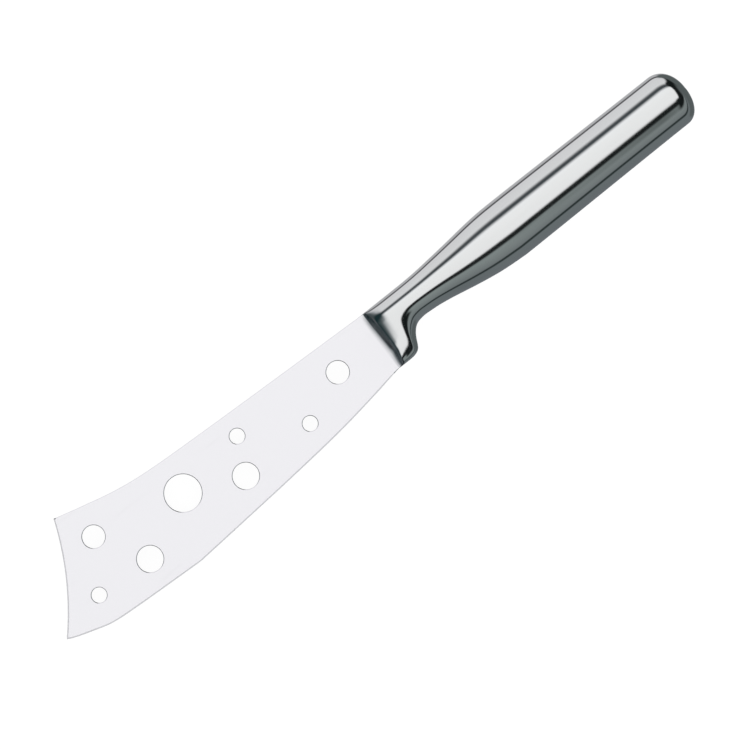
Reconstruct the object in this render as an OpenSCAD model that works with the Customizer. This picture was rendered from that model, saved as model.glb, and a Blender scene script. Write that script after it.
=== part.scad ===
// Cheese knife for soft cheese: a thin perforated blade whose flared end is hollowed to a fork-like
// lift, and a welded all-steel handle. It lies on its side. +X runs to the butt, +Y to the spine and
// +Z out of one flat side. Distances run from the heel line, where blade and handle meet, and
// heights from the centre line of the grip.

/* [Blade] */
// Length from the heel line to the lower tip corner
blade_len = 124; // [100:1:150]
// Thickness of the sheet, as it is left at the shoulder and the tang
sheet_t = 1.6; // [1.3:0.1:2]
// Depth that is ground off each face of the blade
grind = 0.05; // [0.02:0.01:0.1]
// Height of the upper tip corner over the grip's centre line
tip_rise = 16.4; // [12:0.2:20]
// How far the upper tip corner stands back from the lower one
tip_back = 18.8; // [10:0.2:26]
// Depth of the lower tip corner under the grip's centre line
tip_drop = 13.3; // [9:0.1:16]
// Depth of the cutting edge at its fullest
belly_drop = 19.9; // [17:0.1:24]
// How far the tip edge is hollowed from a straight line
front_dip = 1.7; // [0.2:0.1:3]
// Thickness left along the ground edges
edge_land = 0.2; // [0.1:0.05:0.4]
// Width of the bevel along the cutting edge
edge_bevel = 0.4; // [0.2:0.05:1]
// Width of the bevel along the tip edge
front_bevel = 0.4; // [0.2:0.05:1]
// Length over which the bevel grows from nothing at the heel line
bevel_run = 4; // [2:0.5:8]
// Chamfer that breaks the spine's corners
spine_chamfer = 0.15; // [0.05:0.05:0.3]

/* [Holes] */
// Diameter of the one largest hole
hole_main = 11; // [8:0.2:13]
// Diameter of the two large holes
hole_large = 7.8; // [6:0.1:9]
// Diameter of the two middle holes
hole_middle = 6.7; // [5:0.1:8]
// Diameter of the three small holes
hole_small = 4.5; // [3:0.1:6]
// Chamfer round each hole's rims
hole_chamfer = 0.12; // [0.05:0.01:0.2]

/* [Tang] */
// Length of the tang inside the handle
tang_len = 38; // [25:1:60]
// Height of the tang where it leaves the shoulder
tang_w = 7.6; // [5:0.2:8]
// Height of the tang near its end
tang_end_w = 5.6; // [4:0.2:7]
// Diameter of the hole that the filling keys through
key_d = 3.2; // [2:0.2:3.6]

/* [Handle] */
// Length from the heel line to the butt
handle_len = 116; // [95:1:140]
// Height of the grip at its fullest
grip_w = 18.4; // [15:0.2:22]
// Thickness of the grip at its fullest
grip_t = 13; // [11:0.2:16]
// Distance from the heel line to the grip's fullest place
grip_x = 50; // [44:1:60]
// Height of the neck at its narrowest
neck_w = 11.4; // [10.5:0.1:13]
// Thickness of the neck
neck_t = 10.2; // [9:0.1:11]
// Height of the neck's spine over the grip's centre line
neck_spine = 6.9; // [6:0.1:7.5]
// Distance from the heel line to the neck's narrowest place
neck_x = 16; // [14:0.5:20]
// Height of the handle just before the butt rounds over
butt_w = 17.7; // [15:0.1:20]
// Thickness of the handle just before the butt rounds over
butt_t = 12.2; // [10:0.1:13]
// Length over which the butt rounds over on the spine side
butt_round_spine = 7; // [4:0.1:9]
// Length over which the butt rounds over on the belly side
butt_round_belly = 5.8; // [4:0.1:9]
// Length over which the butt rounds over on its two flat sides
butt_round_face = 4.6; // [3:0.1:7]

/* [Bolster] */
// Thickness of the bolster
bolster_t = 10; // [8:0.1:11]
// Depth of the heel under the grip's centre line
heel_drop = 12; // [10.5:0.1:13]
// Distance from the heel line to the heel's rear corner
heel_x = 8.7; // [8:0.1:10]
// Length of the hollow and round from the blade to the bolster's full thickness, at the heel
front_len_heel = 4.1; // [3.6:0.1:4.8]
// The same length at the spine
front_len_spine = 6.8; // [5.4:0.1:8]

/* [Shells and welds] */
// Wall of the two pressed handle shells
wall = 0.9; // [0.7:0.05:1.2]
// Width of the weld that joins the shells
seam_w = 0.4; // [0.3:0.05:0.8]
// Distance from the heel line to the shells' front edge
mouth_x = 2.8; // [2.4:0.1:3.2]
// Gap round the tang in the shells' mouth
mouth_gap = 0.1; // [0.05:0.01:0.2]
// Room over and under the tang in the shells' mouth
mouth_room = 0.6; // [0.3:0.1:0.8]

/* [Hidden] */

$fn = 72;
blade_t = sheet_t - 2 * grind;
blade_half = blade_t / 2;
sheet_half = sheet_t / 2;
seam_half = seam_w / 2;
overrun = sheet_t;

// Facets over a shell's half round, stations along each stretch of the handle
arc_segs = 16;
front_rows = 9;
heel_steps = 12;
swell_steps = 11;
grip_steps = 8;
butt_steps = 8;
edge_steps = 50;
front_steps = 12;
weld_steps = 7;
weld_from = 2;
round_steps = 12;

// Neck, heel and grip, as depths under the centre line and heights of the crest
neck_belly = neck_w - neck_spine;
neck_crest = (neck_spine - neck_belly) / 2;
butt_x = handle_len - max(butt_round_spine, butt_round_belly, butt_round_face);
// Where the mouth weld is thick enough to stand for itself on the blade
weld_toe = mouth_x / 3;
// The slot round the tang, and where the cavity behind it is fully open
slot_half = tang_w / 2 + mouth_room;
cavity_x = (heel_x + neck_x) / 2 - wall;

// How far the swell from neck to grip has gone, by share of the way, on the spine and on the belly
spine_swell_shares = [[0, 0], [0.14, 0.06], [0.28, 0.22], [0.5, 0.49], [0.73, 0.83], [0.87, 0.97], [1, 1]];
belly_swell_shares = [[0, 0], [0.14, 0.08], [0.28, 0.24], [0.5, 0.56], [0.68, 0.79], [0.82, 0.91], [1, 1]];
// How much of the heel's drop under the neck is left, by share of the way from heel corner to neck
heel_rear_shares = [[0, 0.82], [0.08, 0.64], [0.17, 0.46], [0.3, 0.28], [0.46, 0.13], [0.66, 0.04], [1, 0]];
// The same from the heel line back to the heel corner, as shares of that length
heel_sole_shares = [[0, 1], [0.65, 1], [0.8, 0.965], [0.92, 0.9], [1, 0.82]];
// How far the bolster's front has risen from the blade, by share of its length: near upright at the heel,
// and softly rounded over at the spine
front_heel_shares = [[0, 0], [0.15, 0.014], [0.29, 0.055], [0.42, 0.125], [0.52, 0.205], [0.57, 0.36],
                     [0.63, 0.72], [0.68, 0.875], [0.76, 0.945], [0.86, 0.984], [0.96, 0.999], [1, 1]];
front_spine_shares = [[0, 0], [0.13, 0.03], [0.23, 0.1], [0.31, 0.19], [0.36, 0.32], [0.4, 0.48],
                      [0.48, 0.65], [0.6, 0.81], [0.74, 0.92], [0.88, 0.98], [0.96, 0.998], [1, 1]];
// Squareness of the section: round on the spine side, and on the belly side from a square heel to the
// round of the grip, by share of the way from heel line to neck
round_power = 2.25;
heel_power_shares = [[0, 9], [0.25, 8.5], [0.38, 7], [0.475, 6], [0.54, 3.7], [0.61, 2.6], [0.78, 2.3],
                     [1, round_power]];
cap_power = 2.15;
slot_power = 8;
cap_reach = sin(80);
// Sine of the turn past which a point of the blade's outline is a corner
corner_turn = sin(30);

// Spine and cutting edge by share of the blade's length from the heel line
spine_line_shares = [[0, 0], [0.3, 0.13], [0.59, 0.27], [0.73, 0.37], [0.82, 0.51], [0.92, 0.77], [1, 1]];
edge_line_shares = [[0, 0], [0.08, 0.215], [0.2, 0.47], [0.35, 0.68], [0.5, 0.85], [0.64, 1]];
edge_end_shares = [[0, 1], [0.5, 0.82], [0.7, 0.69], [0.84, 0.42], [0.96, 0.14], [1, 0]];
edge_fullest_share = 0.64;

// Holes, each by its share of the blade's length, its height as a share of the edge's depth, and its size
hole_shares = [[0.115, -0.09], [0.24, -0.423], [0.392, 0.097], [0.434, -0.436],
               [0.574, -0.06], [0.73, -0.512], [0.801, 0.256], [0.876, -0.46]];
hole_sizes = [hole_middle, hole_small, hole_small, hole_large,
              hole_main, hole_large, hole_middle, hole_small];

// Smooth curve through a table of [place, value] pairs
function slope(t, i) =
    let (a = max(i - 1, 0), b = min(i + 1, len(t) - 1))
    (t[b][1] - t[a][1]) / (t[b][0] - t[a][0]);
function span(t, x, i = 0) = i >= len(t) - 2 || x < t[i + 1][0] ? i : span(t, x, i + 1);
function along(t, x) =
    let (i = span(t, x), w = t[i + 1][0] - t[i][0], u = min(max((x - t[i][0]) / w, 0), 1))
    (1 + 2 * u) * pow(1 - u, 2) * t[i][1] + u * pow(1 - u, 2) * w * slope(t, i)
    + pow(u, 2) * (3 - 2 * u) * t[i + 1][1] + pow(u, 2) * (u - 1) * w * slope(t, i + 1);
function mix(a, b, u) = a + (b - a) * u;
function ease(u) = let (v = min(max(u, 0), 1)) v * v * (3 - 2 * v);

// The handle's outline and thickness at a distance x from the heel line, before the butt rounds over
function grip_way(x) = min(max((x - neck_x) / (grip_x - neck_x), 0), 1);
function butt_way(x) = min(max((x - grip_x) / (butt_x - grip_x), 0), 1);
function spine_at(x) = x < grip_x
    ? mix(neck_spine, grip_w / 2, along(spine_swell_shares, grip_way(x)))
    : mix(grip_w / 2, butt_w / 2, butt_way(x));
function belly_at(x) = x < heel_x
    ? mix(neck_belly, heel_drop, along(heel_sole_shares, x / heel_x))
    : x < neck_x
    ? mix(neck_belly, heel_drop, along(heel_rear_shares, (x - heel_x) / (neck_x - heel_x)))
    : x < grip_x
    ? mix(neck_belly, grip_w / 2, along(belly_swell_shares, grip_way(x)))
    : mix(grip_w / 2, butt_w / 2, butt_way(x));
function half_at(x) = x < neck_x
    ? mix(bolster_t, neck_t, ease(x / neck_x)) / 2
    : x < grip_x
    ? mix(neck_t, grip_t, ease(grip_way(x))) / 2
    : mix(grip_t, butt_t, pow(butt_way(x), 2)) / 2;
function crest_at(x) = x < neck_x ? neck_crest : (spine_at(x) - belly_at(x)) / 2;
function belly_power(x) = along(heel_power_shares, x / neck_x);
function front_way(x, y) = mix(along(front_heel_shares, x / front_len_heel),
    along(front_spine_shares, x / front_len_spine), (y + heel_drop) / (neck_spine + heel_drop));
// Rounding of the butt over its last length r: 1 before it starts, falling to 0 at the very end
function cap_at(x, r) =
    let (u = cap_reach * (x - handle_len + r) / r)
    u <= 0 ? 1 : pow(1 - pow(u, cap_power), 1 / cap_power);

// Stations along the handle, closer at the bolster's front, the heel and the butt
stations = concat(
    [for (i = [0:front_rows - 1]) mix(mouth_x, front_len_spine, i / front_rows)],
    [for (i = [0:heel_steps - 1]) mix(front_len_spine, neck_x, i / heel_steps)],
    [for (i = [0:swell_steps - 1]) mix(neck_x, grip_x, i / swell_steps)],
    [for (i = [0:grip_steps - 1]) mix(grip_x, butt_x, i / grip_steps)],
    [for (i = [0:butt_steps]) mix(butt_x, handle_len, sin(asin(cap_reach) * i / butt_steps) / cap_reach)]);

// One half section: an arc from the belly edge over the crest to the spine edge, at the weld's face
function arc(x, px, belly, spine, half, least_power = 0) = [
    for (i = [0:arc_segs])
    let (c = -cos(180 * i / arc_segs), s = sin(180 * i / arc_segs),
         power = max(c < 0 ? belly_power(x) : round_power, least_power),
         crest = crest_at(x),
         y = crest + (c < 0 ? -(crest + belly) : spine - crest) * pow(abs(c), 2 / power),
         z = seam_half + (half - seam_half) * pow(abs(s), 2 / power))
    [px, y, z]];
// The skin's section. In the bolster's front it rises from the blade's face.
function outer_arc(x) = [for (p = arc(x, x,
    belly_at(x) * cap_at(x, butt_round_belly),
    spine_at(x) * cap_at(x, butt_round_spine),
    half_at(x) * cap_at(x, butt_round_face)))
    [p.x, p.y, mix(min(p.z, sheet_half), p.z, front_way(x, p.y))]];

// The cavity starts as the slot round the tang and opens out behind the shells' front wall
function cavity_way(x) = ease((x - mouth_x - wall) / (cavity_x - mouth_x - wall));
function cavity_belly(x) = min(belly_at(x), belly_at(x + wall)) - wall;
function inner_x(x) = x < butt_x ? x : x - wall * pow((x - butt_x) / (handle_len - butt_x), 2);
function inner_arc(x) = let (w = cavity_way(x)) arc(x, inner_x(x),
    mix(slot_half - neck_crest, cavity_belly(x), w) * cap_at(x, butt_round_belly),
    mix(slot_half + neck_crest, spine_at(x) - wall, w) * cap_at(x, butt_round_spine),
    mix(sheet_half + mouth_gap, half_at(x) - wall, w) * cap_at(x, butt_round_face),
    mix(slot_power, 0, w));
outer_arcs = [for (x = stations) outer_arc(x)];
inner_arcs = [for (x = stations) inner_arc(x)];

// Indices of the triangles between two neighbouring rows of points, a and b, from point i
function strip(a, b, n) = [for (i = [0:n - 2])
    each [[a + i, b + i, b + i + 1], [a + i, b + i + 1, a + i + 1]]];
function closed_strip(a, b, n) = concat(strip(a, b, n), [[a + n - 1, b + n - 1, b], [a + n - 1, b, a]]);
function turned(faces) = [for (f = faces) [for (i = [len(f) - 1:-1:0]) f[i]]];
ring = arc_segs + 1;
rows = len(stations);

// One pressed half: an outer and an inner skin, joined by the front wall and by the rims at the weld
module half_shell() {
    inner = rows * ring;
    last = (rows - 1) * ring;
    polyhedron(convexity = 6,
        points = concat([for (a = outer_arcs) each a], [for (a = inner_arcs) each a]),
        faces = turned(concat(
            [for (k = [0:rows - 2]) each strip(k * ring, (k + 1) * ring, ring)],
            turned([for (k = [0:rows - 2]) each strip(inner + k * ring, inner + (k + 1) * ring, ring)]),
            strip(inner, 0, ring),
            [for (k = [0:rows - 2]) each
                let (a = k * ring, b = a + ring)
                [[a, inner + a, inner + b], [a, inner + b, b]]],
            turned([for (k = [0:rows - 2]) each
                let (a = k * ring + ring - 1, b = a + ring)
                [[a, inner + a, inner + b], [a, inner + b, b]]]),
            turned([[for (i = [0:ring - 1]) last + i]]),
            [[for (i = [0:ring - 1]) inner + last + i]],
            [[last + ring - 1, last, inner + last, inner + last + ring - 1]])));
}

// Everything stands in one frame: the middle of the knife's length and height, over its lowest point
module in_frame() {
    translate([(blade_len - handle_len) / 2, (belly_drop - tip_rise) / 2, grip_t / 2]) children();
}

module handle_shell_left() color("silver") in_frame() half_shell();
module handle_shell_right() color("silver") in_frame() mirror([0, 0, 1]) half_shell();

// The bead between the shells' rims, along spine, butt, belly and heel, ground flush on both sides
module seam_weld() color("gainsboro") in_frame()
    translate([0, 0, -seam_half]) linear_extrude(seam_w)
    polygon(concat(
        [for (a = outer_arcs) [a[0].x, a[0].y]],
        [for (k = [rows - 1:-1:0]) [outer_arcs[k][ring - 1].x, outer_arcs[k][ring - 1].y]],
        [for (a = inner_arcs) [a[ring - 1].x, a[ring - 1].y]],
        [for (k = [rows - 1:-1:0]) [inner_arcs[k][0].x, inner_arcs[k][0].y]]));

// The weld at the shells' front edge, ground with them to one hollow that runs out on the blade. It lies
// on the blade's face, under the skin's section but for its flat edges.
module mouth_weld() {
    top = [for (k = [0:weld_steps]) let (a = outer_arc(mix(weld_toe, mouth_x, k / weld_steps)))
        [for (i = [weld_from:arc_segs - weld_from]) a[i]]];
    n = len(top[0]);
    under = len(top) * n;
    last = under - n;
    polyhedron(convexity = 4,
        points = concat([for (a = top) each a], [for (a = top) for (p = a) [p.x, p.y, sheet_half]]),
        faces = turned(concat(
            [for (k = [0:weld_steps - 1]) each strip(k * n, (k + 1) * n, n)],
            turned([for (k = [0:weld_steps - 1]) each strip(under + k * n, under + (k + 1) * n, n)]),
            strip(under, 0, n),
            turned(strip(under + last, last, n)),
            [for (k = [0:weld_steps - 1]) each
                let (a = k * n, b = a + n)
                [[a, under + a, under + b], [a, under + b, b]]],
            turned([for (k = [0:weld_steps - 1]) each
                let (a = k * n + n - 1, b = a + n)
                [[a, under + a, under + b], [a, under + b, b]]]))));
}
module mouth_weld_left() color("gainsboro") in_frame() mouth_weld();
module mouth_weld_right() color("gainsboro") in_frame() mirror([0, 0, 1]) mouth_weld();

// The set mass of sand and resin that fills the handle and holds the tang
module handle_filling() color("tan") in_frame() difference() {
    loop = 2 * ring;
    under = [for (a = inner_arcs) [for (i = [ring - 1:-1:0]) [a[i].x, a[i].y, -a[i].z]]];
    last = (rows - 1) * loop;
    polyhedron(convexity = 4,
        points = [for (k = [0:rows - 1]) each concat(inner_arcs[k], under[k])],
        faces = concat(
            turned([for (k = [0:rows - 2]) each closed_strip(k * loop, (k + 1) * loop, loop)]),
            turned([[for (i = [0:loop - 1]) i]]),
            [[for (i = [0:loop - 1]) last + i]]));
    difference() {
        translate([0, 0, -sheet_half]) linear_extrude(sheet_t) polygon(concat(
            [[mouth_x - overrun, tang_outline[0].y]], tang_outline,
            [[mouth_x - overrun, tang_outline[len(tang_outline) - 1].y]]));
        key_hole();
    }
}

// The tang's outline from its foot to its top at the shoulder, narrowing to a rounded end
tang_end_x = mouth_x + tang_len - tang_end_w / 2;
tang_outline = [for (p = concat(
    [[mouth_x, -tang_w / 2], [mouth_x + tang_w, -tang_w / 2]],
    [for (i = [0:round_steps]) let (a = -90 + 180 * i / round_steps)
        [tang_end_x, 0] + tang_end_w / 2 * [cos(a), sin(a)]],
    [[mouth_x + tang_w, tang_w / 2], [mouth_x, tang_w / 2]])) [p.x, p.y + neck_crest]];
module key_hole() {
    translate([tang_end_x - key_d, neck_crest, 0])
        cylinder(h = sheet_t + 2 * overrun, d = key_d, center = true);
}

// The ground blade's outline, point by point from the spine at the heel line round the tip to the heel.
// Each point has its bevel width before and after it, and the thickness left at the edge.
upper_x = tip_back - blade_len;
full_land = blade_t - 2 * spine_chamfer;
function spine_point(u) = [upper_x * u, mix(neck_spine, tip_rise, along(spine_line_shares, u)),
    spine_chamfer, spine_chamfer, full_land];
function front_point(v) =
    let (dx = -tip_back, dy = -tip_drop - tip_rise, d = norm([dx, dy]), dip = front_dip * 4 * v * (1 - v))
    [upper_x + dx * v - dy / d * dip, tip_rise + dy * v + dx / d * dip, front_bevel, front_bevel, edge_land];
function edge_depth(u) = u < edge_fullest_share
    ? mix(heel_drop, belly_drop, along(edge_line_shares, u))
    : mix(tip_drop, belly_drop, along(edge_end_shares, (u - edge_fullest_share) / (1 - edge_fullest_share)));
function edge_point(u) =
    let (w = min(u * blade_len / bevel_run, 1))
    [-blade_len * u, -edge_depth(u), edge_bevel * w, edge_bevel * w, mix(full_land, edge_land, w)];
outline = concat(
    [[0, neck_spine, 0, 0, full_land]],
    [for (i = [1:edge_steps - 1]) spine_point(i / edge_steps)],
    [spine_point(1 + front_bevel / upper_x)],
    [[upper_x, tip_rise, spine_chamfer, front_bevel, edge_land]],
    [for (i = [1:front_steps - 1]) front_point(i / front_steps)],
    [[-blade_len, -tip_drop, front_bevel, edge_bevel, edge_land]],
    [for (i = [edge_steps - 1:-1:0]) edge_point(i / edge_steps)]);

// A point of the outline moved inwards by its bevel widths
function inward(a, b) = let (d = b - a) [-d.y, d.x] / norm(d);
function xy(p) = [p.x, p.y];
function inset(i) =
    let (n = len(outline), p = outline[i], a = inward(xy(outline[(i + n - 1) % n]), xy(p)),
         b = inward(xy(p), xy(outline[(i + 1) % n])), turn = a.x * b.y - a.y * b.x)
    abs(turn) > corner_turn
    ? xy(p) + [p[2] * b.y - p[3] * a.y, p[3] * a.x - p[2] * b.x] / turn
    : xy(p) + (a + b) / norm(a + b) * p[3];

module plate() {
    n = len(outline);
    polyhedron(convexity = 4,
        points = concat(
            [for (i = [0:n - 1]) [inset(i).x, inset(i).y, -blade_half]],
            [for (p = outline) [p.x, p.y, -p[4] / 2]],
            [for (p = outline) [p.x, p.y, p[4] / 2]],
            [for (i = [0:n - 1]) [inset(i).x, inset(i).y, blade_half]]),
        faces = concat(
            [[for (i = [0:n - 1]) i]],
            turned([[for (i = [0:n - 1]) 3 * n + i]]),
            [for (k = [0:2]) each closed_strip(k * n, (k + 1) * n, n)]));
}

// The unground root of the blade: the full-height shoulder that the shells butt on, and the tang
module root() translate([0, 0, -sheet_half]) linear_extrude(sheet_t) polygon(concat(
    [[0, neck_spine], [0, -heel_drop], [mouth_x, -belly_at(mouth_x)]],
    tang_outline, [[mouth_x, neck_spine]]));

module hole(d) {
    cylinder(h = blade_t + 2 * overrun, d = d, center = true);
    for (side = [-1, 1])
        translate([0, 0, side * blade_half])
        cylinder(h = 2 * hole_chamfer, d1 = d + (1 - side) * 2 * hole_chamfer,
                 d2 = d + (1 + side) * 2 * hole_chamfer, center = true);
}

module blade() color("whitesmoke") in_frame() difference() {
    union() {
        plate();
        root();
    }
    key_hole();
    for (i = [0:len(hole_shares) - 1])
        translate([-blade_len * hole_shares[i][0], belly_drop * hole_shares[i][1], 0]) hole(hole_sizes[i]);
}

blade();
handle_shell_left();
handle_shell_right();
seam_weld();
mouth_weld_left();
mouth_weld_right();
handle_filling();
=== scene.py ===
from math import cos, pi, radians, sin

import bmesh
import bpy
from mathutils import Matrix, Vector


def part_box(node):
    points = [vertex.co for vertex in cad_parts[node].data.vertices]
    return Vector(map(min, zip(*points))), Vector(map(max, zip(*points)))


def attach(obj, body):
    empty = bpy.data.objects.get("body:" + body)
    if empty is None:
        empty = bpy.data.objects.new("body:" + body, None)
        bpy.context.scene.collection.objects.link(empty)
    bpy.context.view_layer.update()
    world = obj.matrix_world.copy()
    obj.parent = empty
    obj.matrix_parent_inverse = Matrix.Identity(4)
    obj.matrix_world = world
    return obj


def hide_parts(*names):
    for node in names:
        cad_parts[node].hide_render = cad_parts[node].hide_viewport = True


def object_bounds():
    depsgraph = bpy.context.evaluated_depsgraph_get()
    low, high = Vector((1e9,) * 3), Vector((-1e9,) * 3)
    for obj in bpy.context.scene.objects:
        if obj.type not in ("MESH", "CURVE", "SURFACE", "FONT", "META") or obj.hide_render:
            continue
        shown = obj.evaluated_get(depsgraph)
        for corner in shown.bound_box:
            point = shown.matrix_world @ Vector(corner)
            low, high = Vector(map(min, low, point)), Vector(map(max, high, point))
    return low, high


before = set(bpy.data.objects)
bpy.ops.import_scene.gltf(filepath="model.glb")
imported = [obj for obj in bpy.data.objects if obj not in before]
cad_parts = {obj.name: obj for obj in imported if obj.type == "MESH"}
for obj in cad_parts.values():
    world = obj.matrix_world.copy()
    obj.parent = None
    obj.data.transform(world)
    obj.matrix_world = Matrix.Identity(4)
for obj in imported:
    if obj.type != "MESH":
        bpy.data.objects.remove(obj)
cad_low, cad_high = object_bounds()

# Blade
# One stamped sheet of satin-ground stainless steel. Its flared end is hollowed like a fork's, eight
# holes keep soft cheese from clinging, and a tang runs from its heel into the handle.

MM = 0.001
blade_len = 124 * MM
sheet_t = 1.6 * MM
sheet_half = sheet_t / 2
grind = 0.05 * MM
grind_run = 0.6 * MM
tip_rise = 16.4 * MM
tip_back = 18.8 * MM
tip_drop = 13.3 * MM
belly_drop = 19.9 * MM
heel_drop = 12 * MM
neck_spine = 6.9 * MM
front_dip = 1.7 * MM
mouth_x = 2.8 * MM
tang_len = 38 * MM
tang_w = 7.6 * MM
tang_end_w = 5.6 * MM
tang_rise = 1.2 * MM
tang_chamfer = 0.05 * MM
tang_edge_share = 0.9
key_r = 1.6 * MM
edge_bevel = 0.4 * MM
bevel_run = 4 * MM
edge_land = 0.2 * MM
spine_chamfer = 0.15 * MM
rim_chamfer = 0.18 * MM
outline_steps = 150
tip_steps = 50
tang_segments = 24
hole_segments = 96
# Points nearer to each other than this are one
touch = 0.0001 * MM
blade_crease = 25
# How upright the normal of a ground bevel stands. Chamfers stand more upright, and walls lie flat
bevel_normal_low = 0.3
bevel_normal_high = 0.6

# Spine and cutting edge, as shares of the way from heel line to tip
spine_shares = [(0, 0), (0.3, 0.13), (0.59, 0.27), (0.73, 0.37), (0.82, 0.51), (0.92, 0.77), (1, 1)]
edge_shares = [(0, 0), (0.08, 0.215), (0.2, 0.47), (0.35, 0.68), (0.5, 0.85), (0.64, 1)]
edge_end_shares = [(0, 1), (0.5, 0.82), (0.7, 0.69), (0.84, 0.42), (0.96, 0.14), (1, 0)]
fullest_share = 0.64
# Each hole's place, by share of the blade's length and of the edge's depth, and each hole's width
hole_place_shares = [(0.115, -0.09), (0.24, -0.423), (0.392, 0.097), (0.434, -0.436), (0.574, -0.06),
                     (0.73, -0.512), (0.801, 0.256), (0.876, -0.46)]
hole_widths = [6.7 * MM, 4.5 * MM, 4.5 * MM, 7.8 * MM, 11 * MM, 7.8 * MM, 6.7 * MM, 4.5 * MM]

# The heel line, where blade and handle meet, on the grip's centre line
blade_low, blade_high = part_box("blade")
heel = Vector((blade_low.x + blade_len, blade_high.y - tip_rise, (cad_low.z + cad_high.z) / 2))


def along(shares, x):
    """Height of the smooth curve through a table of (place, share) pairs."""
    last = len(shares) - 2
    i = max(k for k in range(last + 1) if k == 0 or x >= shares[k][0])

    def slope(k):
        a, b = max(k - 1, 0), min(k + 1, last + 1)
        return (shares[b][1] - shares[a][1]) / (shares[b][0] - shares[a][0])

    w = shares[i + 1][0] - shares[i][0]
    u = min(max((x - shares[i][0]) / w, 0), 1)
    return ((1 + 2 * u) * (1 - u) ** 2 * shares[i][1] + u * (1 - u) ** 2 * w * slope(i)
            + u * u * (3 - 2 * u) * shares[i + 1][1] + u * u * (u - 1) * w * slope(i + 1))


def mix(a, b, u):
    return a + (b - a) * u


def ease(u):
    v = min(max(u, 0), 1)
    return v * v * (3 - 2 * v)


def edge_depth(u):
    if u < fullest_share:
        return mix(heel_drop, belly_drop, along(edge_shares, u))
    return mix(tip_drop, belly_drop, along(edge_end_shares, (u - fullest_share) / (1 - fullest_share)))


def blade_outline():
    """Points round the blade and tang as (x, y, bevel width, thickness left at the edge)."""
    upper_x = tip_back - blade_len
    full = sheet_t - 2 * spine_chamfer
    spine = [(upper_x * u, mix(neck_spine, tip_rise, along(spine_shares, u)), spine_chamfer, full)
             for u in (i / outline_steps for i in range(outline_steps + 1))]
    lean = Vector((-tip_back, -tip_drop - tip_rise)).normalized()
    front = []
    for i in range(1, tip_steps):
        v = i / tip_steps
        dip = front_dip * 4 * v * (1 - v)
        x = mix(upper_x, -blade_len, v) - lean.y * dip
        y = mix(tip_rise, -tip_drop, v) + lean.x * dip
        front.append((x, y, edge_bevel, edge_land))
    edge = []
    for i in range(outline_steps, -1, -1):
        u = i / outline_steps
        w = ease(u * blade_len / bevel_run)
        edge.append((-blade_len * u, -edge_depth(u), mix(spine_chamfer, edge_bevel, w),
                     mix(full, edge_land, w)))
    spine[-1] = (*spine[-1][:2], edge_bevel, edge_land)
    end_x = mouth_x + tang_len - tang_end_w / 2
    tang = [(mouth_x, -heel_drop), (mouth_x, tang_rise - tang_w / 2),
            (mouth_x + tang_w, tang_rise - tang_w / 2)]
    for i in range(tang_segments + 1):
        a = mix(-pi / 2, pi / 2, i / tang_segments)
        tang.append((end_x + tang_end_w / 2 * cos(a), tang_rise + tang_end_w / 2 * sin(a)))
    tang += [(mouth_x + tang_w, tang_rise + tang_w / 2), (mouth_x, tang_rise + tang_w / 2),
             (mouth_x, neck_spine)]
    return spine + front + edge + [(*p, tang_chamfer, sheet_t * tang_edge_share) for p in tang]


def inset_points(outline):
    """Each outline point moved inwards by its bevel width."""
    moved = []
    for i, (x, y, width, _) in enumerate(outline):
        here = Vector((x, y))
        before = here - Vector(outline[i - 1][:2])
        after = Vector(outline[(i + 1) % len(outline)][:2]) - here
        a = Vector((-before.y, before.x)).normalized()
        b = Vector((-after.y, after.x)).normalized()
        moved.append(here + (a + b) / (1 + a.dot(b)) * width)
    return moved


def ring_of(bm, points):
    """A closed loop of edges through points."""
    verts = [bm.verts.new(p) for p in points]
    return [bm.edges.new((verts[i - 1], verts[i])) for i in range(len(verts))]


def circle_ring(bm, x, y, z, r):
    place = Matrix.Translation((x, y, z))
    made = bmesh.ops.create_circle(bm, segments=hole_segments, radius=r, matrix=place)
    return list({e for v in made["verts"] for e in v.link_edges})


def finished(bm, name, material, replaced, crease):
    """Turns a closed bmesh in heel-line coordinates into a riding piece, sharp past the crease angle."""
    bmesh.ops.translate(bm, verts=bm.verts, vec=heel)
    for e in bm.edges:
        e.smooth = len(e.link_faces) == 2 and e.calc_face_angle() < radians(crease)
    for f in bm.faces:
        f.smooth = True
    mesh = bpy.data.meshes.new(name)
    bm.to_mesh(mesh)
    bm.free()
    mesh.materials.append(material)
    piece = bpy.data.objects.new(name, mesh)
    bpy.context.scene.collection.objects.link(piece)
    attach(piece, "root")
    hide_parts(replaced)
    return piece


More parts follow.
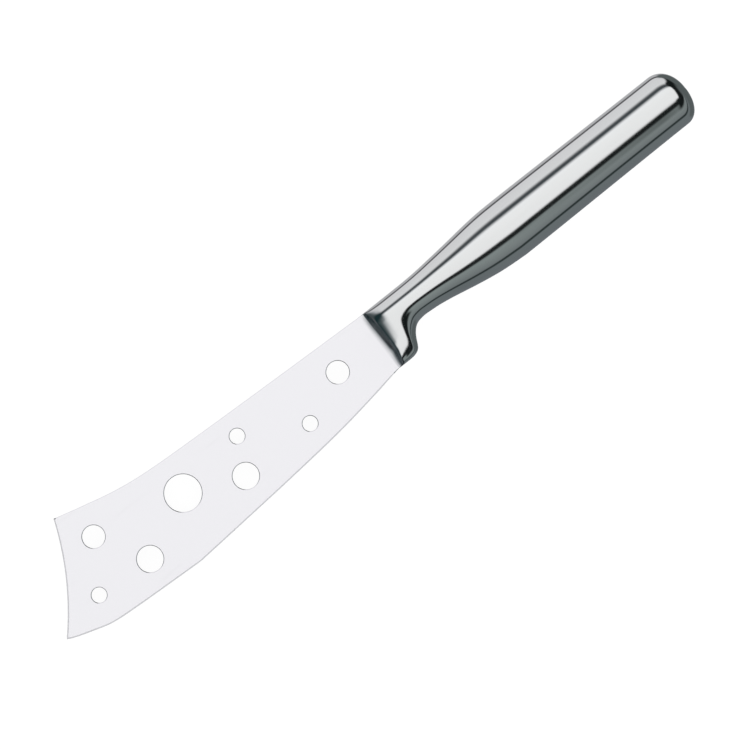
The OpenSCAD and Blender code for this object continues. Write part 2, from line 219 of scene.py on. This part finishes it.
def blade_mesh():
    bm = bmesh.new()
    outline = blade_outline()
    inner = inset_points(outline)
    levels = [ring_of(bm, [(*p, sheet_half) for p in inner]),
              ring_of(bm, [(x, y, land / 2) for x, y, _, land in outline]),
              ring_of(bm, [(x, y, -land / 2) for x, y, _, land in outline]),
              ring_of(bm, [(*p, -sheet_half) for p in inner])]
    bores = [(-blade_len * a, belly_drop * b, width / 2)
             for (a, b), width in zip(hole_place_shares, hole_widths)]
    bores.append((mouth_x + tang_len - tang_end_w / 2 - 2 * key_r, tang_rise, key_r))
    wall_half = sheet_half - rim_chamfer
    rim_levels = ((sheet_half, rim_chamfer), (wall_half, 0), (-wall_half, 0), (-sheet_half, rim_chamfer))
    rims = [[circle_ring(bm, x, y, z, r + wider) for z, wider in rim_levels] for x, y, r in bores]
    for stack in [levels, *rims]:
        for a, b in zip(stack, stack[1:]):
            bmesh.ops.bridge_loops(bm, edges=a + b)
    for k in (0, -1):
        bmesh.ops.triangle_fill(bm, use_beauty=True, edges=levels[k] + [e for r in rims for e in r[k]])
    # The ground faces stand back by the grinding's depth, which runs out just before the shoulder
    for x in (0, -grind_run):
        bmesh.ops.bisect_plane(bm, geom=bm.verts[:] + bm.edges[:] + bm.faces[:], dist=touch,
                               plane_co=(x, 0, 0), plane_no=(1, 0, 0))
    for v in bm.verts:
        if v.co.x < -grind_run / 2:
            v.co.z *= 1 - 2 * grind / sheet_t
    bmesh.ops.recalc_face_normals(bm, faces=bm.faces)
    ground = bm.faces.layers.float.new("ground_edge")
    for f in bm.faces:
        f.normal_update()
        f[ground] = bevel_normal_low < abs(f.normal.z) < bevel_normal_high
    return bm


class Wire:
    """A shader value that takes part in Python sums. node() makes any other node."""

    def __init__(self, tree, socket=None):
        self.tree = tree
        self.socket = socket

    def node(self, kind, settings=None, out=0, **sockets):
        made = self.tree.nodes.new("ShaderNode" + kind)
        for name, value in (settings or {}).items():
            if name == "stops":
                while len(made.color_ramp.elements) < len(value):
                    made.color_ramp.elements.new(1)
                for element, (place, colour) in zip(made.color_ramp.elements, value):
                    element.position = place
                    element.color = (*colour, 1)
            else:
                setattr(made, name, value)
        for name, value in sockets.items():
            place = int(name[1:]) if name[1:].isdigit() else name.replace("_", " ")
            if isinstance(value, Wire):
                self.tree.links.new(value.socket, made.inputs[place])
            else:
                made.inputs[place].default_value = value
        return Wire(self.tree, made.outputs[out])

    def math(self, operation, a, b=0.0):
        return self.node("Math", {"operation": operation}, i0=a, i1=b)

    def __add__(self, other):
        return self.math("ADD", self, other)

    def __sub__(self, other):
        return self.math("SUBTRACT", self, other)

    def __rsub__(self, other):
        return self.math("SUBTRACT", other, self)

    def __mul__(self, other):
        return self.math("MULTIPLY", self, other)

    def __truediv__(self, other):
        return self.math("DIVIDE", self, other)

    __radd__ = __add__
    __rmul__ = __mul__

    def between(self, low, high):
        """0 below low, 1 above high, and a soft step from one to the other."""
        return self.node("MapRange", {"interpolation_type": "SMOOTHSTEP"}, i0=self, i1=low, i2=high)

    def blend(self, first, second):
        """Colour first where self is 0, second where it is 1."""
        return self.node("Mix", {"data_type": "RGBA"}, out=2, i0=self, i6=first, i7=second)


def shader_of(owner, shader, output="OutputMaterial"):
    owner.use_nodes = True
    tree = owner.node_tree
    tree.nodes.clear()
    wire = Wire(tree)
    result = shader(wire)
    end = tree.nodes.new("ShaderNode" + output)
    tree.links.new(result.socket, end.inputs["Surface"])
    return owner


marks_share = 0.7
marks_depth = 0.02 * MM
cloud_scale = 38.0
cloud_roughness = 0.02
scratch_lay = (40, 700, 700)
scratch_turn = (0, 0, 0.6)
scratch_levels = (0.66, 0.74)
edge_roughness = 0.3
edge_scatter = 0.75


def steel(wire, light, dark, polish, scratches, lay, bump, edge=0.0):
    """Stainless steel: grinding marks along the lay, soft cloudiness and fine stray scratches. An edge
    fresh from the stone is rougher and scatters light."""
    place = wire.node("TexCoord", out="Object")
    marks = wire.node("Mapping", i0=place, Scale=lay)
    fine = wire.node("TexNoise", i0=marks, Scale=1.0, Detail=3.0, Roughness=0.65)
    cloud = wire.node("TexNoise", i0=place, Scale=cloud_scale, Detail=2.0)
    turned = wire.node("Mapping", i0=place, Rotation=scratch_turn, Scale=scratch_lay)
    scratch = wire.node("TexNoise", i0=turned, Scale=1.0, Detail=1.0).between(*scratch_levels)
    tone = (fine * marks_share + cloud * (1 - marks_share)).blend((*dark, 1), (*light, 1))
    rough = polish[0] + (polish[1] - polish[0]) * fine + cloud * cloud_roughness + scratch * scratches
    relief = wire.node("Bump", Strength=bump, Distance=marks_depth, Height=fine)
    return wire.node("BsdfPrincipled", Base_Color=tone, Metallic=1 - edge * edge_scatter,
                     Roughness=rough + edge * edge_roughness, Normal=relief)


satin_look = {"light": (0.835, 0.825, 0.855), "dark": (0.80, 0.79, 0.825), "polish": (0.10, 0.17),
              "scratches": 0.025, "lay": (260, 5200, 260), "bump": 0.08}
satin = shader_of(bpy.data.materials.new("satin_blade_steel"), lambda wire: steel(
    wire, edge=wire.node("Attribute", {"attribute_name": "ground_edge"}, out="Fac"), **satin_look))
finished(blade_mesh(), "blade_sheet", satin, "blade", blade_crease)

# Handle filling
# Sand set in resin. It is poured into the shells, locks the tang through its key hole and gives the
# handle its weight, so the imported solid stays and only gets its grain.

sand_dark = (0.42, 0.37, 0.28, 1)
sand_light = (0.62, 0.57, 0.46, 1)
sand_scale = 1400.0
sand_cloud_scale = 160.0
sand_speck_share = 0.35
sand_bump = 0.4
sand_depth = 0.2 * MM
sand_roughness = 0.82


def sand_in_resin(wire):
    place = wire.node("TexCoord", out="Object")
    grains = wire.node("TexVoronoi", out="Color", i0=place, Scale=sand_scale)
    cloud = wire.node("TexNoise", i0=place, Scale=sand_cloud_scale, Detail=4.0)
    speck = wire.node("Mix", {"data_type": "RGBA", "blend_type": "MULTIPLY"}, out=2,
                      i0=sand_speck_share, i6=cloud.blend(sand_dark, sand_light), i7=grains)
    relief = wire.node("Bump", Strength=sand_bump, Distance=sand_depth, Height=cloud)
    return wire.node("BsdfPrincipled", Base_Color=speck, Roughness=sand_roughness, Normal=relief)


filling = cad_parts["handle_filling"]
filling.data.materials.clear()
filling.data.materials.append(shader_of(bpy.data.materials.new("sand_in_resin"), sand_in_resin))

# Handle shells
# Two halves pressed from polished stainless sheet, welded along their rims and ground to one form:
# a round grip that swells from a slim neck, and a bolster whose heel drops to guard the finger.

handle_len = 116 * MM
grip_w = 18.4 * MM
grip_t = 13 * MM
grip_x = 50 * MM
neck_belly = 4.5 * MM
neck_t = 10.2 * MM
neck_x = 16 * MM
butt_w = 17.7 * MM
butt_t = 12.2 * MM
butt_x = 109 * MM
butt_round_spine = 7 * MM
butt_round_belly = 5.8 * MM
butt_round_face = 4.6 * MM
bolster_t = 10 * MM
heel_x = 8.7 * MM
front_reach_heel = 5 * MM
front_reach_spine = 10 * MM
front_turn_low = -7.3 * MM
front_turn_high = 2 * MM
front_tuck = 0.09 / MM
wall = 0.9 * MM
mouth_toe = 0.35 * MM
seam_half = 0.2 * MM
round_power = 2.25
# Squareness of the section's belly side, by share of the way from heel line to neck
heel_power_shares = [(0, 9), (0.25, 8.5), (0.36, 7), (0.45, 6), (0.515, 3.7), (0.585, 2.6),
                     (0.76, 2.3), (1, 2.25)]
cap_power = 2.15
half_segments = 64
skin_touch = 0.00001 * MM
skin_crease = 40
# An outer face's normal lies at least this near to the skin's
outward_least = 0.8
# How far the bolster's front has risen from the blade, by share of its reach behind the heel line
front_heel_shares = [(0, 0), (0.1, 0.005), (0.2, 0.02), (0.3, 0.04), (0.4, 0.07), (0.46, 0.095),
                     (0.49, 0.125), (0.52, 0.21), (0.55, 0.43), (0.58, 0.665), (0.61, 0.8), (0.65, 0.9),
                     (0.69, 0.95), (0.73, 0.975), (0.78, 0.988), (0.92, 1)]
front_spine_shares = [(0, 0), (0.05, 0.005), (0.1, 0.02), (0.15, 0.045), (0.2, 0.09), (0.23, 0.2),
                      (0.26, 0.38), (0.3, 0.53), (0.35, 0.66), (0.4, 0.755), (0.45, 0.825), (0.5, 0.878),
                      (0.55, 0.917), (0.6, 0.949), (0.65, 0.971), (0.7, 0.985), (0.75, 0.993), (0.84, 1)]
spine_swell_shares = [(0, 0), (0.14, 0.06), (0.28, 0.22), (0.5, 0.49), (0.73, 0.83), (0.87, 0.97), (1, 1)]
belly_swell_shares = [(0, 0), (0.14, 0.08), (0.28, 0.24), (0.5, 0.56), (0.68, 0.79), (0.82, 0.91), (1, 1)]
heel_rear_shares = [(0, 0.82), (0.08, 0.64), (0.17, 0.46), (0.3, 0.28), (0.46, 0.13), (0.66, 0.04), (1, 0)]
heel_sole_shares = [(0, 1), (0.65, 1), (0.8, 0.965), (0.92, 0.9), (1, 0.82)]
# Stations of the skin behind the mouth: how far each run reaches, and its step
toe_steps = 25
station_runs = [(mouth_x + 1.2 * MM, 0.1 * MM), (mouth_x + 5.8 * MM, 0.2 * MM),
                (neck_x + 2.2 * MM, 0.3 * MM), (butt_x - 0.8 * MM, 0.9 * MM)]
butt_steps = 36


def grip_way(x):
    return min(max((x - neck_x) / (grip_x - neck_x), 0), 1)


def butt_way(x):
    return min(max((x - grip_x) / (butt_x - grip_x), 0), 1)


def butt_taper(x):
    return mix(grip_w / 2, butt_w / 2, (ease(butt_way(x)) + butt_way(x)) / 2)


def spine_at(x):
    if x < grip_x:
        return mix(neck_spine, grip_w / 2, along(spine_swell_shares, grip_way(x)))
    return butt_taper(x)


def belly_at(x):
    if x < heel_x:
        return mix(neck_belly, heel_drop, along(heel_sole_shares, max(x, 0) / heel_x))
    if x < neck_x:
        return mix(neck_belly, heel_drop, along(heel_rear_shares, (x - heel_x) / (neck_x - heel_x)))
    if x < grip_x:
        return mix(neck_belly, grip_w / 2, along(belly_swell_shares, grip_way(x)))
    return butt_taper(x)


def half_at(x):
    if x < neck_x:
        return mix(bolster_t, neck_t, ease(x / neck_x)) / 2
    if x < grip_x:
        return mix(neck_t, grip_t, ease(grip_way(x))) / 2
    return mix(grip_t, butt_t, butt_way(x) ** 2) / 2


# Profiles along the handle, sampled closely and relaxed so that reflections flow without kinks
sample_step = 0.25 * MM
sample_count = int(round(handle_len / sample_step)) + 1


def relaxed(height_at, rounds):
    values = [height_at(i * sample_step) for i in range(sample_count)]
    for _ in range(rounds):
        inner = [(a + 2 * b + c) / 4 for a, b, c in zip(values, values[1:], values[2:])]
        values = [values[0], *inner, values[-1]]

    def at(x):
        place = min(max(x / sample_step, 0), sample_count - 1)
        k = min(int(place), sample_count - 2)
        return mix(values[k], values[k + 1], place - k)

    return at


def crest_at(x):
    if x < neck_x:
        return (neck_spine - neck_belly) / 2
    return (spine_at(x) - belly_at(x)) / 2


spine_line = relaxed(spine_at, rounds=120)
belly_line = relaxed(belly_at, rounds=6)
half_line = relaxed(half_at, rounds=160)
crest_line = relaxed(crest_at, rounds=60)


def belly_power(x):
    return along(heel_power_shares, min(x / neck_x, 1))


def front_way(x, y):
    """How far the bolster's front has risen from the blade. It is near upright at the heel."""
    up = ease((y - front_turn_low) / (front_turn_high - front_turn_low))
    back = x * (1 + front_tuck * max(front_turn_low - y, 0))
    heel_rise = along(front_heel_shares, back / front_reach_heel)
    return mix(heel_rise, along(front_spine_shares, back / front_reach_spine), up)


def cap_at(x, r):
    u = (x - handle_len + r) / r
    return 1 if u <= 0 else (1 - min(u, 1) ** cap_power) ** (1 / cap_power)


def skin_point(x, t, side):
    """A point of the handle's skin at x, t of the way from spine to belly over one side."""
    c, s = -cos(pi * t), sin(pi * t)
    power = round_power if c < 0 else belly_power(x)
    top = cap_at(x, butt_round_spine)
    spine = spine_line(x) * top
    belly = belly_line(x) * cap_at(x, butt_round_belly)
    half = max(half_line(x) * cap_at(x, butt_round_face), seam_half)
    crest = crest_line(x) * top
    reach = (spine - crest) if c < 0 else -(crest + belly)
    y = crest + reach * abs(c) ** (2 / power)
    z = seam_half + (half - seam_half) * abs(s) ** (2 / power)
    return Vector((x, y, side * mix(min(z, sheet_half), z, front_way(x, y))))


def stations():
    """Places along the handle: close over the hollow, the heel and the butt."""
    places = [mix(mouth_toe, mouth_x, i / toe_steps) for i in range(toe_steps + 1)]
    for reach, step in station_runs:
        while places[-1] < reach - step / 2:
            places.append(places[-1] + step)
    turns = [sin(pi / 2 * i / butt_steps) for i in range(butt_steps + 1)]
    return places + [mix(butt_x, handle_len, turn) for turn in turns]


# What each face of the skin belongs to
BLADE_EDGE, SEAM, LEFT, RIGHT, MOUTH_LEFT, MOUTH_RIGHT = range(6)


def skin():
    """The whole outer skin of the handle: a grid wrapped round it, open at the blade and closed at the
    butt. A unit grid's own coordinates give each point's row and column."""
    places = stations()
    rows = len(places) - 1
    columns = 2 * half_segments + 2
    bm = bmesh.new()
    bmesh.ops.create_grid(bm, x_segments=rows, y_segments=columns, size=1)
    tag = bm.faces.layers.int.new("part")
    for f in bm.faces:
        column = int((f.calc_center_median().y + 1) / 2 * columns)
        front = round((max(v.co.x for v in f.verts) + 1) / 2 * rows) <= toe_steps
        if column in (half_segments, columns - 1):
            f[tag] = BLADE_EDGE if front else SEAM
        elif column < half_segments:
            f[tag] = MOUTH_LEFT if front else LEFT
        else:
            f[tag] = MOUTH_RIGHT if front else RIGHT
    for v in bm.verts:
        x = places[round((v.co.x + 1) / 2 * rows)]
        j = round((v.co.y + 1) / 2 * columns) % columns
        if j <= half_segments:
            v.co = skin_point(x, j / half_segments, 1)
        else:
            v.co = skin_point(x, 1 - (j - half_segments - 1) / half_segments, -1)
    bmesh.ops.remove_doubles(bm, verts=bm.verts, dist=skin_touch)
    bmesh.ops.dissolve_degenerate(bm, edges=bm.edges, dist=skin_touch)
    bmesh.ops.recalc_face_normals(bm, faces=bm.faces)
    return bm


whole_skin = skin()
skin_normals = whole_skin.verts.layers.float_vector.new("skin_normal")
whole_skin.normal_update()
for v in whole_skin.verts:
    v[skin_normals] = v.normal


def skin_part(part):
    """The faces of one part, cut out of the whole skin."""
    bm = whole_skin.copy()
    tag = bm.faces.layers.int["part"]
    bmesh.ops.delete(bm, geom=[f for f in bm.faces if f[tag] != part], context="FACES")
    return bm


def skin_piece(bm, name, material):
    """Finishes a part of the skin. Its outer faces keep the whole skin's normals, so that light runs
    over the joins without a break."""
    bmesh.ops.recalc_face_normals(bm, faces=bm.faces)
    bm.normal_update()
    normal = bm.verts.layers.float_vector["skin_normal"]
    outward = []
    for f in bm.faces:
        along_skin = f.normal.dot(sum((v[normal] for v in f.verts), Vector())) / len(f.verts)
        outward.append(along_skin > outward_least)
    piece = finished(bm, name, material, name.replace("_skin", ""), skin_crease)
    mesh = piece.data
    stored = mesh.attributes["skin_normal"].data
    normals = [Vector()] * len(mesh.loops)
    for polygon in mesh.polygons:
        for i in polygon.loop_indices:
            if outward[polygon.index]:
                normals[i] = stored[mesh.loops[i].vertex_index].vector.normalized()
    mesh.normals_split_custom_set(normals)


def thick_part(part, name, material):
    """A pressed part: its outer skin, given the sheet's wall inwards."""
    bm = skin_part(part)
    normal = bm.verts.layers.float_vector["skin_normal"]
    made = bmesh.ops.extrude_face_region(bm, geom=bm.faces[:])
    for v in made["geom"]:
        if isinstance(v, bmesh.types.BMVert):
            v.co -= v[normal] * wall
    skin_piece(bm, name, material)


polished_look = {"light": (0.73, 0.735, 0.74), "dark": (0.69, 0.695, 0.70), "polish": (0.055, 0.085),
                 "scratches": 0.04, "lay": (90, 1500, 1500), "bump": 0.02}
polished = shader_of(bpy.data.materials.new("polished_steel"), lambda wire: steel(wire, **polished_look))
thick_part(LEFT, "handle_shell_left_skin", polished)
thick_part(RIGHT, "handle_shell_right_skin", polished)

# Seam weld
# The bead that joins the shells' rims round spine, butt, belly and heel. It is ground and polished
# flush, so that only its slightly duller steel tells it from the shells.

weld_look = {"light": (0.71, 0.71, 0.715), "dark": (0.66, 0.665, 0.67), "polish": (0.07, 0.11),
             "scratches": 0.03, "lay": (120, 1700, 1700), "bump": 0.03}
weld_steel = shader_of(bpy.data.materials.new("ground_weld_steel"), lambda wire: steel(wire, **weld_look))
thick_part(SEAM, "seam_weld_skin", weld_steel)

# Mouth welds
# Weld metal that closes the shells' front edge on both faces of the blade. A round wheel grinds it
# with the shells to the hollow that runs out on the blade.

mouth_lift = 0.01 * MM


def hollow_steel(wire):
    """The blade's satin at the hollow's toe, which turns into the shells' polish at their front edge."""
    place = wire.node("SeparateXYZ", i0=wire.node("TexCoord", out="Object"))
    return wire.node("MixShader", i0=place.between(heel.x + mouth_toe, heel.x + mouth_x),
                     i1=steel(wire, **satin_look), i2=steel(wire, **weld_look))


hollow = shader_of(bpy.data.materials.new("ground_hollow_steel"), hollow_steel)


def mouth_part(part, side, name):
    """The skin over the mouth, cut just above the blade's face and closed down to it."""
    bm = skin_part(part)
    bmesh.ops.bisect_plane(bm, geom=bm.verts[:] + bm.edges[:] + bm.faces[:], dist=skin_touch,
                           plane_co=(0, 0, side * (sheet_half + mouth_lift)), plane_no=(0, 0, side),
                           clear_inner=True)
    made = bmesh.ops.extrude_face_region(bm, geom=bm.faces[:])
    for v in made["geom"]:
        if isinstance(v, bmesh.types.BMVert):
            v.co.z = side * sheet_half
    bmesh.ops.remove_doubles(bm, verts=bm.verts, dist=touch)
    bmesh.ops.dissolve_degenerate(bm, edges=bm.edges, dist=touch)
    skin_piece(bm, name, hollow)


mouth_part(MOUTH_LEFT, 1, "mouth_weld_left_skin")
mouth_part(MOUTH_RIGHT, -1, "mouth_weld_right_skin")

# Studio
# A plain white floor and a light tent of white, grey and black cards, whose reflections draw the
# bands on the polished steel. The camera hangs straight over the knife. These sizes are in metres.

tent_r = 5.0
floor_size = 4.0
steel_tone = 0.71
camera_distance = 3.0
view_width = 217.5 * MM
view_turn = radians(-38.586)
view_centre = Vector((-2.3 * MM, -7.4 * MM, 0))
sensor = 36.0
nearest_seen = 0.1
farthest_seen = 20
floor_glow = 0.93
floor_tone_lit = (0.8, 0.8, 0.8, 1)
floor_tone_seen = (0.14, 0.14, 0.14, 1)
butt_black = (0.010, 0.013, 0.013, 1)
butt_grey = (0.12, 0.14, 0.14, 1)
bolster_teal = (0.014, 0.034, 0.038, 1)

# Tones of the tent, as the steel shows them: degrees from the zenith towards the belly, and colour
cards = [(-180, (0.40, 0.40, 0.41)), (-120, (0.40, 0.40, 0.41)), (-113, (0.10, 0.10, 0.105)),
         (-109, (0.04, 0.04, 0.045)), (-104, (0.04, 0.04, 0.045)), (-98, (0.60, 0.60, 0.61)),
         (-47, (0.63, 0.635, 0.64)), (-38, (0.06, 0.065, 0.07)), (-31, (0.045, 0.055, 0.06)),
         (-23, (0.81, 0.82, 0.825)), (-14, (0.79, 0.795, 0.79)), (0, (0.77, 0.775, 0.77)),
         (7, (0.765, 0.765, 0.765)), (10, (0.008, 0.01, 0.01)), (17.5, (0.008, 0.01, 0.01)),
         (21.5, (0.205, 0.235, 0.23)), (57, (0.148, 0.166, 0.168)), (61.5, (0.018, 0.026, 0.026)),
         (67, (0.018, 0.026, 0.026)), (73, (0.125, 0.145, 0.148)), (180, (0.125, 0.135, 0.148))]
# How far each bright card reaches toward the butt, by the same degrees
butt_reach_shares = [(-180, 0.2), (-110, 0.2), (-96, 0.75), (-77, 1), (-58, 0.75), (-44, 0),
                     (-34, 0), (-24, 0.75), (-10, 1), (2, 0.75), (12, 0.1), (180, 0.1)]
butt_start = 16
butt_stretch = 20
butt_fade = 16
# What is left of the tones toward the tip, by lean from the zenith as a share of a right angle
tip_tone_shares = [(0, (1, 1, 1)), (0.07, (0.99, 0.99, 0.99)), (0.12, (0.93, 0.93, 0.935)),
                   (0.18, (0.82, 0.83, 0.83)), (0.24, (0.66, 0.67, 0.68)), (0.31, (0.43, 0.45, 0.46)),
                   (0.39, (0.23, 0.25, 0.26)), (0.48, (0.13, 0.15, 0.155)), (0.64, (0.08, 0.10, 0.105)),
                   (0.82, (0.09, 0.105, 0.11)), (0.95, (0.20, 0.205, 0.225)), (1, (0.20, 0.205, 0.225))]
# The soft edges of the dark places, from none to full. Round is in the cards' degrees, lean in degrees
# toward the butt or, for the smudge, toward the tip
ring_round = (36, 18)
corner_lean = (1.5, 8)
corner_round_start = (4, 10)
corner_round_end = (40, 28)
behind_lean = (66, 88)
behind_x = (0.25, 0.5)
behind_z = (0.1, -0.2)
smudge_lean = (7, 34)
smudge_round_start = (-62, -38)
smudge_round_end = (4, -28)


def share_round(degrees):
    return (degrees + 180) / 360


def tent_tones(wire):
    """The tent's tones by two angles: round the handle's length, and lean along it."""
    place = wire.node("VectorMath", {"operation": "NORMALIZE"}, i0=wire.node("TexCoord", out="Object"))
    parts = wire.node("SeparateXYZ", i0=place).socket.node.outputs
    x, y, z = (Wire(wire.tree, parts[i]) for i in range(3))
    way_round = wire.math("ARCTAN2", y * -1, z) / (2 * pi) + 0.5
    toward_belly = (way_round - 0.5) * 360
    lean = wire.math("ARCSINE", x) * (180 / pi)
    # The long cards that draw the bands along the handle
    stops = [(share_round(a), tuple(c / steel_tone for c in tone)) for a, tone in cards]
    across = wire.node("ValToRGB", {"stops": stops}, i0=way_round)
    # Black past the cards' butt ends and in a corner beside the brightest card, and grey behind the butt
    reach_stops = [(share_round(a), (r, r, r)) for a, r in butt_reach_shares]
    reach = wire.node("ValToRGB", {"stops": reach_stops}, i0=way_round)
    start = butt_start + butt_stretch * reach
    ring = ((lean - start) / butt_fade).between(0, 1) * toward_belly.between(*ring_round)
    corner = (lean.between(*corner_lean) * toward_belly.between(*corner_round_start)
              * toward_belly.between(*corner_round_end))
    butt_dark = wire.math("MAXIMUM", ring, corner).blend(across, butt_black)
    behind = wire.math("MAXIMUM", lean.between(*behind_lean), x.between(*behind_x) * z.between(*behind_z))
    butt_side = behind.blend(butt_dark, butt_grey)
    # Darker toward the tip, and a teal smudge for the bolster's front
    tip_fall = wire.node("ValToRGB", {"stops": tip_tone_shares}, i0=lean * -1 / 90)
    tip_side = wire.node("Mix", {"data_type": "RGBA", "blend_type": "MULTIPLY"}, out=2, i0=1.0,
                         i6=butt_side, i7=tip_fall)
    smudge = ((lean * -1).between(*smudge_lean) * toward_belly.between(*smudge_round_start)
              * toward_belly.between(*smudge_round_end))
    return wire.node("Emission", i0=smudge.blend(tip_side, bolster_teal), i1=1.0)


def stage_object(bm, name, material):
    mesh = bpy.data.meshes.new(name)
    bm.to_mesh(mesh)
    bm.free()
    mesh.materials.append(material)
    made = bpy.data.objects.new(name, mesh)
    bpy.context.scene.collection.objects.link(made)
    return made


bm = bmesh.new()
bmesh.ops.create_icosphere(bm, subdivisions=5, radius=tent_r)
tent = stage_object(bm, "light_tent", shader_of(bpy.data.materials.new("tent_cards"), tent_tones))
tent.visible_camera = False
tent.visible_diffuse = False
tent.visible_shadow = False
tent.visible_transmission = False


def floor_paint(wire):
    """White as the camera sees it, with the knife's shadow, and clear from below."""
    seen = wire.node("LightPath", out="Is Camera Ray")
    glow = wire.node("Emission", i0=(1, 1, 1, 1), i1=seen * floor_glow)
    paint = wire.node("BsdfDiffuse", i0=seen.blend(floor_tone_lit, floor_tone_seen))
    both = wire.node("AddShader", i0=glow, i1=paint)
    under = wire.node("NewGeometry", out="Backfacing")
    return wire.node("MixShader", i0=under, i1=both, i2=wire.node("BsdfTransparent"))


bm = bmesh.new()
bmesh.ops.create_grid(bm, x_segments=1, y_segments=1, size=floor_size)
floor = stage_object(bm, "floor", shader_of(bpy.data.materials.new("floor_paint"), floor_paint))
floor.visible_glossy = False

world = bpy.data.worlds.new("white_room")
shader_of(world, lambda wire: wire.node("Background", i0=(1, 1, 1, 1), i1=1.0), "OutputWorld")
bpy.context.scene.world = world

lens = bpy.data.cameras.new("camera")
lens.type = "PERSP"
lens.sensor_width = sensor
lens.lens = sensor * camera_distance / view_width
lens.clip_start = nearest_seen
lens.clip_end = farthest_seen
camera = bpy.data.objects.new("camera", lens)
camera.location = view_centre + Vector((0, 0, heel.z + camera_distance))
camera.rotation_euler = (0, 0, view_turn)
bpy.context.scene.collection.objects.link(camera)
bpy.context.scene.camera = camera
bpy.context.scene.view_settings.view_transform = "Standard"
